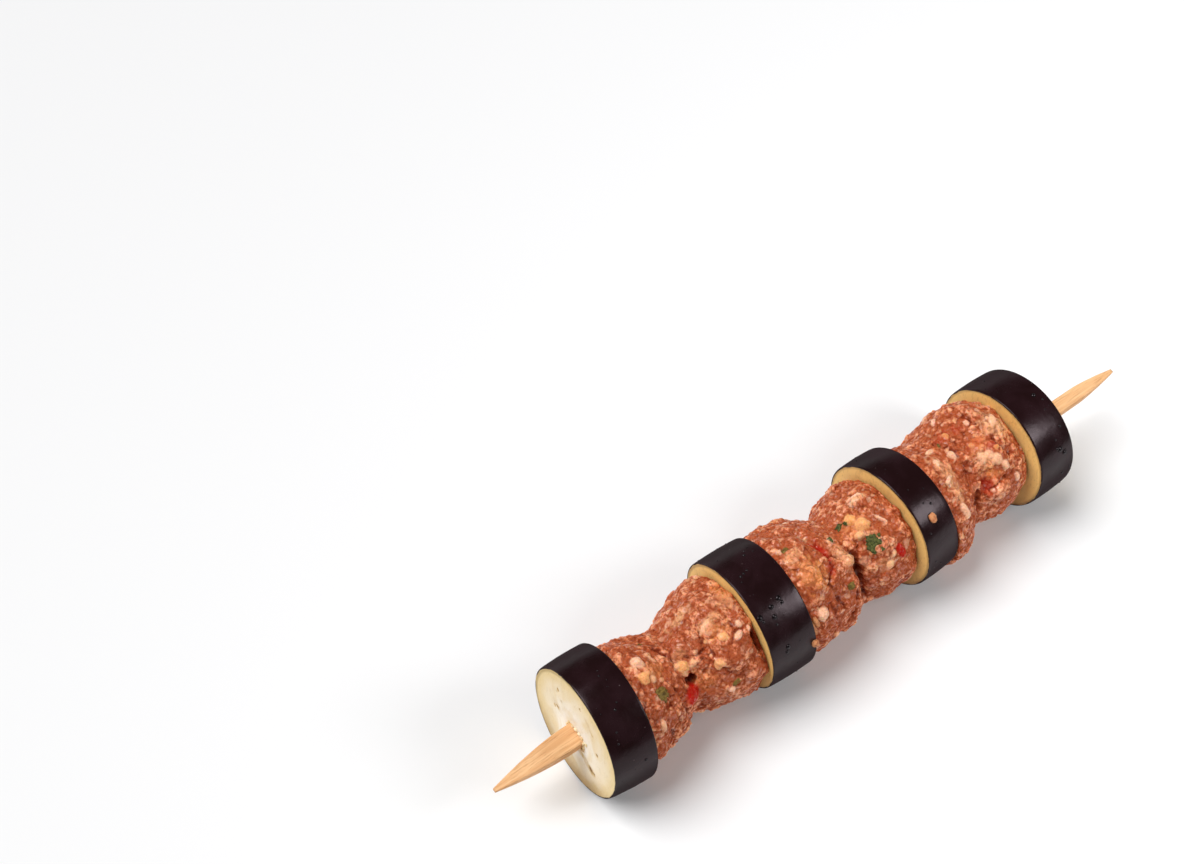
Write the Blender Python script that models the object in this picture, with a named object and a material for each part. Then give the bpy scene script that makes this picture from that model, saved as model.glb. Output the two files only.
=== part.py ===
"""Lamb kebab skewer: three pinched lumps of lamb mince between four thick aubergine slices, on a wooden skewer.

Units are metres and +Z is up. X runs along the skewer from its broad end to its narrow end, Y across it, and the
kebab lies on the slices' rims at Z = 0. Sizes are given in millimetres times MM. An angle round the skewer is
measured from straight up towards -Y, the side that faces the viewer.
"""

import math
from dataclasses import dataclass

import bmesh
import bpy
from mathutils import Vector, noise

MM = 0.001
GAP = 0.3 * MM

# The skewer: a flat hand-cut stick that narrows from one end to the other, with a point at each end. It is turned
# by its roll about X, and runs through the food slightly askew.
SKEWER_LENGTH = 250 * MM
BROAD_WIDTH, BROAD_THICKNESS = 7.5 * MM, 4.7 * MM
NARROW_WIDTH, NARROW_THICKNESS = 4.8 * MM, 3.7 * MM
BROAD_POINT, NARROW_POINT = 24 * MM, 17 * MM
POINT_CURVE = 1.5
NIB = 1.2 * MM
SKEWER_SKEW, SKEW_START = 0.4 * MM, 0.3
SKEWER_ROLL = math.radians(10)
SKEWER_SQUARENESS = 5.0
SKEWER_SIDES = 16
SKEWER_STATIONS = 7
SKEWER_BODY_STATIONS = 6

# The skewer's axis: its height over the floor, and its place across, which centres the whole over the origin.
AXIS_HEIGHT = 20.75 * MM
AXIS_Y = -0.5 * MM

# Aubergine slices.
SLICE_SIDES = 48
FACE_RING = 0.55
RIM_BEVEL = 0.5 * MM
RIM_UNEVENNESS = 0.012
WALL_CROWN = 0.25 * MM

# Lamb mince. FAR_SIDE is the way that a lump may sit off the skewer: away from the viewer and slightly up.
FAR_SIDE = Vector((0.0, 0.92, 0.39))
MINCE_SIDES = 56
MINCE_STATIONS = 25
END_RINGS = (0.0, 0.45, 0.82)
END_ROUNDING, END_REACH = 0.035, 0.06
FLOOR_CLEARANCE = 0.4 * MM
COARSE_LUMP, COARSE_RELIEF = 8.0 * MM, 1.1 * MM
FINE_LUMP, FINE_RELIEF = 4.2 * MM, 0.7 * MM

WOOD = ("pale_wood", (0.80, 0.56, 0.33), 0.55)
AUBERGINE = ("aubergine_skin", (0.030, 0.014, 0.018), 0.25)
LAMB = ("raw_lamb_mince", (0.46, 0.17, 0.09), 0.50)


# The classes below hold their places and sizes in millimetres, and their angles in degrees.
@dataclass(frozen=True)
class Slice:
    """A thick round of aubergine, its sides drifting across and its faces leaning, as a hand-cut slice's do."""

    front: float
    back: float
    front_radius: float
    back_radius: float
    y: float
    z: float
    drift: float
    lean_y: float
    lean_z: float
    seed: float

    def leaning(self, x, y, z):
        """Where a leaning face that crosses the slice's middle at x lies at y and z, all in metres."""
        return x - self.lean_y * (y - self.y * MM) - self.lean_z * (z - self.z * MM)


@dataclass(frozen=True)
class Girth:
    """The mince's half width at one place along the skewer, and how far it sits towards the far side."""

    x: float
    radius: float
    shift: float


@dataclass(frozen=True)
class Mark:
    """A bump or, with a negative height, a dent in the mince: its place, height and reach along and around."""

    x: float
    angle: float
    height: float
    along: float
    around: float


@dataclass(frozen=True)
class Crease:
    """A fold pressed into the mince from one place to another, made of a row of dents."""

    start: tuple
    end: tuple
    depth: float
    width: float
    steps: int = 5

    def marks(self):
        """The row of dents."""
        for step in range(self.steps):
            share = step / (self.steps - 1)
            x = self.start[0] + (self.end[0] - self.start[0]) * share
            angle = self.start[1] + (self.end[1] - self.start[1]) * share
            yield Mark(x, angle, -self.depth, self.width, self.width * 1.3)


SLICES = (
    Slice(-96.5, -82.5, 20.8, 21.4, 0.1, 0.0, -1.1, -0.055, -0.075, 1.0),
    Slice(-38.5, -22.6, 21.3, 21.4, 0.8, 0.3, -0.7, -0.040, 0.005, 2.0),
    Slice(21.4, 34.0, 21.5, 21.2, 0.9, 0.3, 0.1, 0.025, -0.005, 3.0),
    Slice(70.6, 84.8, 21.2, 21.0, 1.4, 0.4, 0.0, 0.010, -0.025, 4.0),
)

GIRTHS = (
    (
        Girth(-82.2, 18.3, -0.3),
        Girth(-76.5, 18.1, -0.3),
        Girth(-69.0, 15.4, -0.9),
        Girth(-61.5, 13.6, -0.2),
        Girth(-55.0, 16.4, 0.2),
        Girth(-44.0, 18.7, 0.3),
        Girth(-38.8, 18.2, 0.6),
    ),
    (
        Girth(-22.3, 20.0, 0.5),
        Girth(-14.0, 19.9, 0.3),
        Girth(-4.0, 17.2, -0.3),
        Girth(2.5, 15.0, -0.7),
        Girth(9.0, 17.1, -0.1),
        Girth(16.5, 18.1, 0.7),
        Girth(21.1, 17.0, 0.9),
    ),
    (
        Girth(34.3, 21.1, 0.3),
        Girth(40.5, 18.2, 0.1),
        Girth(46.5, 17.4, 1.6),
        Girth(54.0, 18.1, 1.8),
        Girth(61.0, 19.0, 2.4),
        Girth(66.0, 18.2, 2.2),
        Girth(70.3, 16.0, 1.9),
    ),
)

MARKS = (
    (
        Mark(-74.9, -1, 0.9, 2.2, 2.4),
        Mark(-76.1, 14, 0.8, 2.0, 2.2),
        Mark(-77.0, 63, 0.6, 1.8, 3.2),
        Mark(-70.0, 95, 0.9, 4.0, 4.0),
        Mark(-62.9, 24, 1.3, 2.2, 2.4),
        Mark(-62.0, 46, -2.8, 2.6, 2.6),
        Mark(-65.1, 66, 0.7, 2.0, 2.2),
        Mark(-53.8, 44, 0.9, 2.0, 2.2),
        Mark(-50.0, 8, 0.8, 4.0, 5.0),
        Mark(-68.0, 150, 1.0, 4.0, 6.0),
        Mark(-50.0, 190, 1.1, 5.0, 6.0),
        Mark(-72.0, 250, 1.2, 4.0, 6.0),
        Mark(-48.0, 285, 1.0, 4.0, 5.0),
    ),
    (
        Mark(-18.2, 60, 0.9, 1.8, 1.8),
        Mark(-15.0, 20, 0.8, 4.0, 5.0),
        Mark(-2.6, 33, 1.9, 2.2, 2.6),
        Mark(-3.5, 50, 1.2, 2.6, 3.0),
        Mark(7.3, 10, 0.9, 2.6, 3.2),
        Mark(9.0, 50, 0.8, 4.0, 5.0),
        Mark(-6.0, 110, 1.0, 4.0, 4.5),
        Mark(12.0, 170, 1.1, 4.0, 6.0),
        Mark(-12.0, 215, 1.2, 5.0, 6.0),
        Mark(8.0, 265, 1.0, 4.0, 5.0),
        Mark(-8.0, 300, 0.9, 4.0, 5.0),
    ),
    (
        Mark(39.0, 112, 3.0, 5.6, 13.0),
        Mark(40.5, 54, 0.7, 2.6, 4.2),
        Mark(51.4, 47, -2.0, 3.0, 3.4),
        Mark(59.4, 30, 0.9, 2.0, 2.2),
        Mark(59.2, 39, 0.9, 2.0, 2.2),
        Mark(63.7, 0, 0.8, 3.4, 4.0),
        Mark(68.0, -14, 1.2, 2.4, 3.0),
        Mark(58.0, 75, 0.8, 4.0, 5.0),
        Mark(60.0, 165, 1.1, 4.6, 6.0),
        Mark(42.0, 215, 1.2, 4.0, 6.0),
        Mark(62.0, 235, 1.0, 4.0, 6.0),
        Mark(44.0, 290, 1.0, 4.0, 5.0),
    ),
)

CREASES = (
    (
        Crease((-63.5, -30), (-62.0, 60), 0.9, 1.9),
        Crease((-66.5, 120), (-61.0, 230), 0.9, 2.2, 7),
    ),
    (
        Crease((-9.5, -8), (0.3, 42), 1.2, 1.7, 7),
        Crease((0.3, 42), (1.6, 100), 1.9, 2.0, 6),
        Crease((3.0, 150), (1.0, 280), 1.0, 2.2, 8),
    ),
    (
        Crease((44.5, -40), (47.0, 50), 0.7, 1.8, 6),
        Crease((47.5, 60), (47.5, 140), 1.3, 1.9, 7),
        Crease((46.0, 190), (45.0, 300), 1.0, 2.2, 8),
    ),
)


def clear_scene():
    """Removes what the scene starts with."""
    for existing in list(bpy.data.objects):
        bpy.data.objects.remove(existing, do_unlink=True)


def material(name, colour, roughness):
    """A plain Principled material."""
    made = bpy.data.materials.new(name)
    made.use_nodes = True
    shader = made.node_tree.nodes["Principled BSDF"]
    shader.inputs["Base Color"].default_value = (*colour, 1.0)
    shader.inputs["Roughness"].default_value = roughness
    shader.inputs["Metallic"].default_value = 0.0
    return made


def turned(profile, sides):
    """Spins a profile of (x, distance from the axis) points round X into one closed skin."""
    mesh = bmesh.new()
    points = [mesh.verts.new((x, 0.0, distance)) for x, distance in profile]
    edges = [mesh.edges.new(pair) for pair in zip(points, points[1:])]
    bmesh.ops.spin(
        mesh, geom=points + edges, cent=(0, 0, 0), axis=(1, 0, 0), angle=math.tau, steps=sides, use_merge=True
    )
    bmesh.ops.remove_doubles(mesh, verts=mesh.verts, dist=1e-6)
    return mesh


def shaped(mesh, place):
    """Moves every point of a turned skin to place(x, angle, distance)."""
    for vert in mesh.verts:
        distance = math.hypot(vert.co.y, vert.co.z)
        angle = math.atan2(-vert.co.y, vert.co.z) if distance > 1e-7 else 0.0
        vert.co = place(vert.co.x, angle, distance)


def finished(mesh, name, finish, parent):
    """Makes the skin an object of that name, closed, outward and smooth, under its parent."""
    bmesh.ops.recalc_face_normals(mesh, faces=mesh.faces)
    data = bpy.data.meshes.new(name)
    mesh.to_mesh(data)
    mesh.free()
    data.shade_smooth()
    data.set_sharp_from_angle(angle=math.radians(35))
    made = bpy.data.objects.new(name, data)
    made.parent = parent
    bpy.context.scene.collection.objects.link(made)
    if finish is not None:
        data.materials.append(finish)
    return made


def skewer_half_sizes(x):
    """Half the stick's width and half its thickness at x, pointed at both ends."""
    share = x / SKEWER_LENGTH + 0.5
    broad, narrow = x + SKEWER_LENGTH / 2, SKEWER_LENGTH / 2 - x
    point = min(broad / BROAD_POINT, narrow / NARROW_POINT, 1.0)
    fullness = 1 - (1 - max(point, 0.0)) ** POINT_CURVE
    sizes = []
    for size in ((BROAD_WIDTH, NARROW_WIDTH), (BROAD_THICKNESS, NARROW_THICKNESS)):
        body = size[0] + (size[1] - size[0]) * share
        sizes.append((NIB + (body - NIB) * fullness) / 2)
    return sizes


def skewer_skin(clearance, ends):
    """The stick's skin: a rounded rectangle along X, grown by the clearance, longer by ends at both points."""
    half = SKEWER_LENGTH / 2
    broad = [-half + BROAD_POINT * (i / SKEWER_STATIONS) for i in range(SKEWER_STATIONS)]
    narrow = [half - NARROW_POINT * (i / SKEWER_STATIONS) for i in reversed(range(SKEWER_STATIONS))]
    first, last = -half + BROAD_POINT, half - NARROW_POINT
    body = [first + (last - first) * i / SKEWER_BODY_STATIONS for i in range(SKEWER_BODY_STATIONS + 1)]
    places = broad + body + narrow
    places[0] -= ends
    places[-1] += ends
    profile = [(places[0], 0.0)] + [(x, 1.0) for x in places] + [(places[-1], 0.0)]

    def place(x, angle, distance):
        width, thickness = (size + clearance for size in skewer_half_sizes(x))
        across, up = -math.sin(angle), math.cos(angle)
        reach = (abs(across) ** SKEWER_SQUARENESS + abs(up) ** SKEWER_SQUARENESS) ** (-1 / SKEWER_SQUARENESS)
        y, z = across * reach * width * distance, up * reach * thickness * distance
        turn_cos, turn_sin = math.cos(SKEWER_ROLL), math.sin(SKEWER_ROLL)
        skew = SKEWER_SKEW * (x / SKEWER_LENGTH + SKEW_START)
        return Vector((x, y * turn_cos - z * turn_sin + skew, y * turn_sin + z * turn_cos))

    mesh = turned(profile, SKEWER_SIDES)
    shaped(mesh, place)
    return mesh


def uneven(angle, seed):
    """A share by which a slice's outline departs from round."""
    spot = Vector((math.cos(angle), math.sin(angle), seed * 3.7))
    return RIM_UNEVENNESS * noise.noise(spot * 1.3)


def on_floor(point, clearance):
    """The point, lifted where it would sink below the floor, which leaves a small flat spot."""
    point.z = max(point.z, clearance - AXIS_HEIGHT)
    return point


def build_slice(index, cut, finish, channel, parent):
    """One aubergine slice: two leaning faces, bevelled rims and a slightly crowned wall, cut for the skewer."""
    front, back = cut.front * MM, cut.back * MM
    front_radius, back_radius = cut.front_radius * MM, cut.back_radius * MM
    profile = [
        (front, 0.0),
        (front, front_radius * FACE_RING),
        (front, front_radius - RIM_BEVEL),
        (front + RIM_BEVEL, front_radius),
        ((front + back) / 2, (front_radius + back_radius) / 2 + WALL_CROWN),
        (back - RIM_BEVEL, back_radius),
        (back, back_radius - RIM_BEVEL),
        (back, back_radius * FACE_RING),
        (back, 0.0),
    ]

    def place(x, angle, distance):
        share = (x - front) / (back - front)
        radius = distance * (1 + uneven(angle, cut.seed))
        y = (cut.y + cut.drift * (share - 0.5)) * MM - math.sin(angle) * radius
        z = cut.z * MM + math.cos(angle) * radius
        return on_floor(Vector((cut.leaning(x, y, z), y, z)), 0.0)

    mesh = turned(profile, SLICE_SIDES)
    shaped(mesh, place)
    made = finished(mesh, f"aubergine_slice_{index}", finish, parent)
    cut_channel(made, channel)
    return made


def girth_at(girths, x):
    """The radius and shift at x, on a smooth curve through the named girths."""
    inner = [g for g in range(len(girths) - 1) if girths[g].x <= x] or [0]
    i = inner[-1]
    before, here = girths[max(i - 1, 0)], girths[i]
    there, after = girths[i + 1], girths[min(i + 2, len(girths) - 1)]
    span = there.x - here.x
    t = min(max((x - here.x) / span, 0.0), 1.0)
    found = []
    for size in ("radius", "shift"):
        a, b, c, d = (getattr(girth, size) for girth in (before, here, there, after))
        slope_here = (c - a) / (there.x - before.x) * span
        slope_there = (d - b) / (after.x - here.x) * span
        ease = t * t * (3 - 2 * t)
        found.append(b + (c - b) * ease + slope_here * t * (1 - t) ** 2 - slope_there * t * t * (1 - t))
    return found


def relief(point):
    """Kneaded unevenness of the mince's surface, in metres."""
    coarse = noise.noise(point / COARSE_LUMP) * COARSE_RELIEF
    fine = noise.noise(point / FINE_LUMP + Vector((7, 3, 1))) * FINE_RELIEF
    return coarse + fine


def pressed(marks, x, angle, radius):
    """The height, in millimetres, that the bumps and dents add at a place on the mince."""
    total = 0.0
    for mark in marks:
        turn = (angle - math.radians(mark.angle) + math.pi) % math.tau - math.pi
        along = (x - mark.x) / mark.along
        around = turn * radius / mark.around
        total += mark.height * math.exp(-(along * along + around * around))
    return total


def build_mince(index, finish, channel, parent):
    """One lump of mince, pinched at its waist, its ends a hair's breadth from the slices on either side."""
    before, after = SLICES[index - 1], SLICES[index]
    girths = GIRTHS[index - 1]
    marks = MARKS[index - 1] + tuple(mark for crease in CREASES[index - 1] for mark in crease.marks())
    profile = [(0.0, distance) for distance in END_RINGS]
    profile += [(i / MINCE_STATIONS, 1.0) for i in range(MINCE_STATIONS + 1)]
    profile += [(1.0, distance) for distance in reversed(END_RINGS)]

    def place(share, angle, distance):
        x = girths[0].x + (girths[-1].x - girths[0].x) * share
        radius, shift = girth_at(girths, x)
        outward = Vector((0.0, -math.sin(angle), math.cos(angle)))
        surface = Vector((x * MM, 0, 0)) + outward * radius * MM
        full = (radius + pressed(marks, x, angle, radius)) * MM + relief(surface)
        rim = min(share, 1 - share)
        full -= full * END_ROUNDING * max(0.0, 1 - rim / END_REACH)
        y, z = (FAR_SIDE * shift * MM + outward * full * distance).yz
        front = before.leaning(before.back * MM, y, z) + GAP
        back = after.leaning(after.front * MM, y, z) - GAP
        return on_floor(Vector((front + (back - front) * share, y, z)), FLOOR_CLEARANCE)

    mesh = turned(profile, MINCE_SIDES)
    shaped(mesh, place)
    made = finished(mesh, f"lamb_mince_{index}", finish, parent)
    cut_channel(made, channel)
    return made


def cut_channel(made, channel):
    """Cuts the way that the skewer takes through a piece of food."""
    cut = made.modifiers.new("skewer_channel", "BOOLEAN")
    cut.operation = "DIFFERENCE"
    cut.solver = "EXACT"
    cut.object = channel


def main():
    """Builds the skewer and threads the food on it."""
    clear_scene()
    axis = bpy.data.objects.new("skewer_axis", None)
    axis.location = (0.0, AXIS_Y, AXIS_HEIGHT)
    bpy.context.scene.collection.objects.link(axis)
    wood, aubergine, lamb = material(*WOOD), material(*AUBERGINE), material(*LAMB)

    finished(skewer_skin(0.0, 0.0), "wooden_skewer", wood, axis)
    channel = finished(skewer_skin(GAP, 2 * MM), "channel_cutter", None, axis)
    channel.hide_render = True
    channel.display_type = "WIRE"

    for index, cut in enumerate(SLICES, start=1):
        build_slice(index, cut, aubergine, channel, axis)
    for index in range(1, len(SLICES)):
        build_mince(index, lamb, channel, axis)


main()
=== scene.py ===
"""Looks of the lamb kebab skewer: raw mince, aubergine rounds and a wooden stick, on a pale studio floor.

Everything is in metres in the part's own frame: X along the stick, Z up, the kebab lying on the floor at
Z = 0. Places on the food are given as millimetres along X and degrees round the stick, from straight up
towards the viewer.
"""
import logging
import math
import random
from dataclasses import astuple, dataclass, field
from enum import Enum
from typing import Any, Callable, Iterator

import bmesh
import bpy
from mathutils import Matrix, Vector, noise
from mathutils.bvhtree import BVHTree


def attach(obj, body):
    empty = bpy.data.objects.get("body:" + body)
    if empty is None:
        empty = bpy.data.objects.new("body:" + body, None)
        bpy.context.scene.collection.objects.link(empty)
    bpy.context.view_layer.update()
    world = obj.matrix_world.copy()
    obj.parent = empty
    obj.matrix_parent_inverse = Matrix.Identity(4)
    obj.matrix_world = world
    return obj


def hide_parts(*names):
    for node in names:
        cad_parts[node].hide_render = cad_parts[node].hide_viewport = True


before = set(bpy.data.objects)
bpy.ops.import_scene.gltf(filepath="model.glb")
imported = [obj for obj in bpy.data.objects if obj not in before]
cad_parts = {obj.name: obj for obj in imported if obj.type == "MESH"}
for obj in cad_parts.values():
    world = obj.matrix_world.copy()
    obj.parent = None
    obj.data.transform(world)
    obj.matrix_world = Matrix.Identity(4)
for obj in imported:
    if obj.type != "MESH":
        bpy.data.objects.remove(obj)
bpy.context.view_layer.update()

MM = 0.001
AXIS = Vector((0.0, -0.5 * MM, 20.75 * MM))
NOISE_SEED = 3
CHUNK_SQUARENESS = 2.4
MERGE_DISTANCE = 1e-6
ON_AXIS = 1e-7
log = logging.getLogger("lamb_kebab")

Colour = tuple[float, float, float, float]


def screen(red: int, green: int, blue: int) -> Colour:
    """A colour as a screen shows it, each channel from 0 to 255, in the shader's linear values.

    Args:
        red: The red channel.
        green: The green channel.
        blue: The blue channel.

    Returns:
        The colour with full alpha.
    """
    shares = (red / 255, green / 255, blue / 255)
    lit = [s / 12.92 if s <= 0.04045 else ((s + 0.055) / 1.055) ** 2.4 for s in shares]
    return (lit[0], lit[1], lit[2], 1.0)


def eased(value: float, low: float, high: float) -> float:
    """A smooth step from 0 at low to 1 at high."""
    share = min(max((value - low) / (high - low), 0.0), 1.0)
    return share * share * (3 - 2 * share)


def outward(angle: float) -> Vector:
    """The way out from the stick at an angle in radians, from straight up towards the viewer."""
    return Vector((0.0, -math.sin(angle), math.cos(angle)))


class Wire:
    """A shader value that maths can be written with."""

    def __init__(self, shader: "Shader", socket: bpy.types.NodeSocket) -> None:
        """Holds an output socket of a shader."""
        self.shader = shader
        self.socket = socket

    def __add__(self, other: Any) -> "Wire":
        """The sum."""
        return self.shader.maths("ADD", self, other)

    def __sub__(self, other: Any) -> "Wire":
        """The difference."""
        return self.shader.maths("SUBTRACT", self, other)

    def __rsub__(self, other: Any) -> "Wire":
        """The difference, with this value taken away."""
        return self.shader.maths("SUBTRACT", other, self)

    def __mul__(self, other: Any) -> "Wire":
        """The product."""
        return self.shader.maths("MULTIPLY", self, other)

    __radd__ = __add__
    __rmul__ = __mul__


class Shader:
    """One material and the nodes behind its surface."""

    def __init__(self, name: str) -> None:
        """Makes a material.

        Args:
            name: Its name.
        """
        self.material = bpy.data.materials.new(name)
        self.material.use_nodes = True
        self.tree = self.material.node_tree
        self.surface = self.tree.nodes["Principled BSDF"]
        self.place = Wire(self, self.node("ShaderNodeTexCoord", {}, {}).outputs["Object"])

    def node(self, kind: str, settings: dict[str, Any], sockets: dict[Any, Any]) -> bpy.types.Node:
        """Adds a node.

        Args:
            kind: The node's type.
            settings: What is set on the node itself, such as an operation, or a ramp's stops.
            sockets: Values or wires for its inputs, by name or number.

        Returns:
            The node.
        """
        made = self.tree.nodes.new(kind)
        for name, setting in settings.items():
            if name == "stops":
                self.set_stops(made.color_ramp, setting)
            else:
                setattr(made, name, setting)
        for key, value in sockets.items():
            if isinstance(value, Wire):
                self.tree.links.new(value.socket, made.inputs[key])
            else:
                made.inputs[key].default_value = value
        return made

    @staticmethod
    def set_stops(ramp: bpy.types.ColorRamp, stops: list[tuple[float, Colour]]) -> None:
        """Gives a ramp its stops.

        Args:
            ramp: The ramp.
            stops: Each stop's place from 0 to 1, and its colour.
        """
        while len(ramp.elements) < len(stops):
            ramp.elements.new(1.0)
        for element, (position, colour) in zip(ramp.elements, stops):
            element.position = position
            element.color = colour

    def maths(self, operation: str, *values: Any) -> Wire:
        """One step of arithmetic."""
        made = self.node("ShaderNodeMath", {"operation": operation}, dict(enumerate(values)))
        return Wire(self, made.outputs[0])

    def mix(self, share: Any, first: Any, second: Any) -> Wire:
        """A colour between two."""
        made = self.node("ShaderNodeMix", {"data_type": "RGBA"}, {0: share, 6: first, 7: second})
        return Wire(self, made.outputs[2])

    def ramp(self, share: Wire, stops: list[tuple[float, Colour]]) -> Wire:
        """A colour picked along stops."""
        made = self.node("ShaderNodeValToRGB", {"stops": stops}, {0: share})
        return Wire(self, made.outputs[0])

    def step(self, value: Wire, low: float, high: float) -> Wire:
        """A smooth step.

        Args:
            value: What is measured.
            low: Where the step is 0.
            high: Where it is 1.

        Returns:
            The step.
        """
        sockets = {"Value": value, "From Min": low, "From Max": high}
        made = self.node("ShaderNodeMapRange", {"interpolation_type": "SMOOTHSTEP"}, sockets)
        return Wire(self, made.outputs["Result"])

    def moved(self, scale: tuple, location: tuple = (0, 0, 0)) -> Wire:
        """Places on the piece, scaled and shifted."""
        sockets = {"Vector": self.place, "Scale": scale, "Location": location}
        return Wire(self, self.node("ShaderNodeMapping", {}, sockets).outputs["Vector"])

    def grain(self, size: float, detail: float = 2.0, warp: float = 0.0, place: Wire | None = None) -> Wire:
        """Noise with features of about that size in metres, from 0 to 1."""
        sockets = {"Vector": place or self.place, "Scale": 1 / size, "Detail": detail, "Distortion": warp}
        return Wire(self, self.node("ShaderNodeTexNoise", {}, sockets).outputs["Fac"])

    def cells(self, size: float, place: Wire | None = None) -> Wire:
        """How far a place is from the middle of its cell, in cells of about that size in metres."""
        sockets = {"Vector": place or self.place, "Scale": 1 / size}
        return Wire(self, self.node("ShaderNodeTexVoronoi", {}, sockets).outputs["Distance"])

    def folded(self, size: float, warp: float) -> Wire:
        """Rounded folds of about that size in metres, from 0 in their thin furrows to about 0.7."""
        away = self.maths("ABSOLUTE", self.grain(size, 0.0, warp) - 0.5, 0.0)
        return self.maths("SQRT", away, 0.0)

    def warped(self, size: float, reach: float) -> Wire:
        """Places on the piece, pushed about by noise.

        Args:
            size: The noise's size, in metres.
            reach: How far a place is pushed at most, in metres.

        Returns:
            The pushed places.
        """
        sockets = {"Vector": self.place, "Scale": 1 / size}
        push = Wire(self, self.node("ShaderNodeTexNoise", {}, sockets).outputs["Color"])
        centred = self.node("ShaderNodeVectorMath", {"operation": "SUBTRACT"}, {0: push, 1: (0.5, 0.5, 0.5)})
        settings = {"operation": "MULTIPLY_ADD"}
        sockets = {0: Wire(self, centred.outputs["Vector"]), 1: (reach * 2,) * 3, 2: self.place}
        return Wire(self, self.node("ShaderNodeVectorMath", settings, sockets).outputs["Vector"])

    def stored(self, name: str) -> Wire:
        """A number stored on the mesh's points."""
        return Wire(self, self.node("ShaderNodeAttribute", {"attribute_name": name}, {}).outputs["Fac"])

    def bump(self, height: Wire, distance: float, strength: float = 1.0) -> Wire:
        """A normal raised by a height, which reaches the given distance at 1."""
        sockets = {"Height": height, "Distance": distance, "Strength": strength}
        return Wire(self, self.node("ShaderNodeBump", {}, sockets).outputs["Normal"])

    def dress(self, **sockets: Any) -> bpy.types.Material:
        """Sets the surface's sockets.

        Args:
            **sockets: Values or wires, named as the sockets are, with underscores for spaces.

        Returns:
            The material.
        """
        for name, value in sockets.items():
            target = self.surface.inputs[name.replace("_", " ")]
            if isinstance(value, Wire):
                self.tree.links.new(value.socket, target)
            else:
                target.default_value = value
        return self.material


@dataclass(frozen=True)
class MinceFinish:
    """Raw lamb mince: lean granules, fat, pepper, and blushes of orange and cream, with painted shade in its
    crevices and furrows and painted light on its raised tops.
    """

    rosy: Colour = screen(176, 88, 52)
    lean: Colour = screen(210, 126, 88)
    salmon: Colour = screen(232, 156, 115)
    peach: Colour = screen(248, 190, 149)
    # Painted shade: the dark red laid where the relief is low, in crevices, creases, hollows and furrows,
    # where shade falls.
    crevice_shade: Colour = screen(100, 24, 4)
    fat: Colour = screen(246, 194, 160)
    yolk: Colour = screen(246, 176, 104)
    orange: Colour = screen(244, 158, 94)
    cream: Colour = screen(250, 192, 142)
    pepper: Colour = screen(176, 16, 10)

    def material(self) -> bpy.types.Material:
        """Builds the material.

        Returns:
            The material.
        """
        shader = Shader("raw_lamb_mince")
        crest, tint = shader.stored("crest"), shader.stored("tint")
        fat, yolk, pepper = shader.stored("fat"), shader.stored("yolk"), shader.stored("pepper")
        orange, cream = shader.stored("orange"), shader.stored("cream")
        broad = shader.grain(5 * MM, 3.0, 0.6) - 0.5
        middle = shader.grain(1.5 * MM, 2.0, 0.5) - 0.5
        fine = shader.grain(0.6 * MM, 2.0, 0.3) - 0.5
        bead = 0.8 - shader.cells(1.25 * MM, shader.warped(1.6 * MM, 0.7 * MM))
        folds = shader.folded(2.4 * MM, 1.0) * 0.4 + shader.folded(1.3 * MM, 0.6) * 0.2 + bead * 0.45
        # The folds term in the mood is painted light and shade: the colour is lighter on the folds' tops and
        # darker in their furrows.
        mood = tint + broad * 1.25 + middle * 0.9 + fine * 0.5 + (folds - 0.40) * 0.8
        stops = [(0.06, self.rosy), (0.36, self.lean), (0.62, self.salmon), (0.95, self.peach)]
        colour = shader.ramp(mood, stops)
        colour = shader.mix(orange * 0.7, colour, self.orange)
        colour = shader.mix(cream * 0.7, colour, self.cream)
        fatty = shader.mix(yolk, self.fat, self.yolk)
        colour = shader.mix(fat * (0.85 + fine), colour, fatty)
        # Painted shade in the furrows of the folds, then in low places of the relief, where the stored crest
        # number is small.
        furrow_shade = shader.step(folds + fine * 0.3, 0.32, 0.12) * (0.45 - fat * 0.3)
        colour = shader.mix(furrow_shade, colour, self.crevice_shade)
        colour = shader.mix(shader.step(crest, 0.34, 0.04) * 0.8, colour, self.crevice_shade)
        colour = shader.mix(pepper * (0.9 + fine), colour, self.pepper)
        height = folds * (1.0 - fat * 0.7) + shader.grain(0.5 * MM, 3.0, 0.3) * 0.3
        return shader.dress(
            Base_Color=colour,
            Roughness=0.5,
            Coat_Weight=shader.step(folds + fine * 0.6, 0.28, 0.5),
            Coat_Roughness=0.3,
            Normal=shader.bump(height, 0.6 * MM, 0.9),
            Specular_IOR_Level=0.04,
            Subsurface_Weight=0.6,
            Subsurface_Radius=(1.0, 0.35, 0.15),
            Subsurface_Scale=1.2 * MM,
        )


@dataclass(frozen=True)
class MorselFinish:
    """A small piece pressed into the mince, with its two colours, its gloss and how far light sinks in."""

    name: str
    first: Colour
    second: Colour
    gloss: float = 0.42
    grain: float = 1.2 * MM
    depth: float = 0.2

    def material(self) -> bpy.types.Material:
        """Builds the material.

        Returns:
            The material.
        """
        shader = Shader(self.name)
        patchy = shader.step(shader.grain(self.grain, 3.0, 0.5), 0.36, 0.64)
        height = shader.grain(0.5 * MM, 3.0)
        return shader.dress(
            Base_Color=shader.mix(patchy, self.first, self.second),
            Roughness=self.gloss + patchy * 0.1,
            Normal=shader.bump(height, 0.2 * MM, 0.6),
            Specular_IOR_Level=0.15,
            Subsurface_Weight=self.depth,
            Subsurface_Radius=(1.0, 0.5, 0.3),
            Subsurface_Scale=1.0 * MM,
        )


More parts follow.
